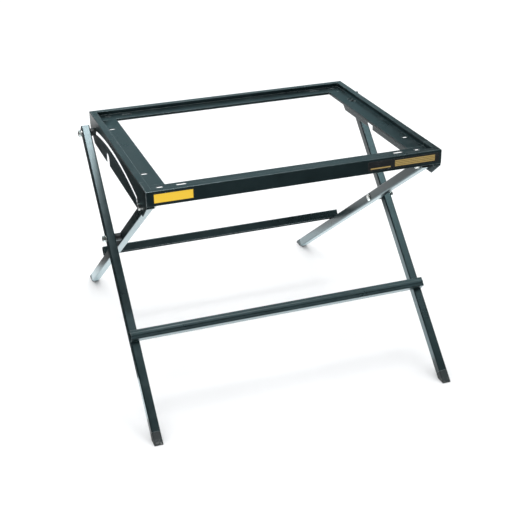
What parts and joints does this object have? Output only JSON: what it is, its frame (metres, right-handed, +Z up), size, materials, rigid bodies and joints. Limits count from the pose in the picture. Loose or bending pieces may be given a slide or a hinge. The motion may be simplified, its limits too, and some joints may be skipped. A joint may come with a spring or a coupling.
{
  "type": "folding sawhorse",
  "caption": "Low folding steel work stand: an open rectangular top frame with slotted shelves on two crossed leg pairs that fold flat beneath it.",
  "frame": {"origin": "centre of the footprint on the floor, midway between the front and rear feet", "axes": "+Z up, +Y from the front rail to the rear rail, +X to the right seen from the front"},
  "size_m": [0.7278, 0.8466, 0.56],
  "materials": {
    "painted_steel": "satin charcoal paint",
    "zinc_steel": "bright zinc plate",
    "foot_rubber": "matt grey rubber",
    "dark_plastic": "matt black nylon",
    "yellow_sticker": "plain gloss sticker",
    "dark_sticker": "plain gloss sticker"
  },
  "bodies": {
    "top_frame": {"front_rail": "painted_steel", "rear_rail": "painted_steel", "left_side_rail": "painted_steel", "right_side_rail": "painted_steel", "small_sticker": "yellow_sticker", "large_sticker": "dark_sticker", "leg_pivot_bolts": "zinc_steel", "leg_pivot_spacers": "zinc_steel", "leg_pivot_washers": "zinc_steel", "leg_pivot_nuts": "zinc_steel"},
    "inner_legs": {"left_inner_leg": "painted_steel", "right_inner_leg": "painted_steel", "left_inner_foot": "foot_rubber", "right_inner_foot": "foot_rubber", "rear_crossbar": "painted_steel", "cross_pivot_bolts": "zinc_steel", "cross_pivot_spacers": "dark_plastic"},
    "slot_guides": {"guide_bolts": "zinc_steel", "guide_spacers": "dark_plastic", "guide_washers": "zinc_steel", "guide_nuts": "zinc_steel"},
    "outer_legs": {"left_outer_leg": "painted_steel", "right_outer_leg": "painted_steel", "left_outer_foot": "foot_rubber", "right_outer_foot": "foot_rubber", "front_crossbar": "painted_steel", "cross_pivot_studs": "zinc_steel", "cross_pivot_washers": "zinc_steel", "cross_pivot_nuts": "zinc_steel"}
  },
  "joints": [
    {"name": "leg_fold", "type": "hinge", "parent": "top_frame", "child": "inner_legs", "pos_m": [0, -0.31315, 0.508], "axis": [1, 0, 0], "range_deg": [0, 35]},
    {"name": "slot_slide", "type": "hinge", "parent": "top_frame", "child": "slot_guides", "pos_m": [0, -0.05419, -0.53165], "axis": [1, 0, 0], "range_deg": [0, 22.17]},
    {"name": "outer_leg_swing", "type": "hinge", "parent": "slot_guides", "child": "outer_legs", "pos_m": [0, 0.12885, 0.524], "axis": [1, 0, 0], "range_deg": [0, 112.19]}
  ],
  "couplings": [
    {"joint": "slot_slide", "follows": "leg_fold", "ratio": 0.63326},
    {"joint": "outer_leg_swing", "follows": "leg_fold", "ratio": 3.2053}
  ]
}
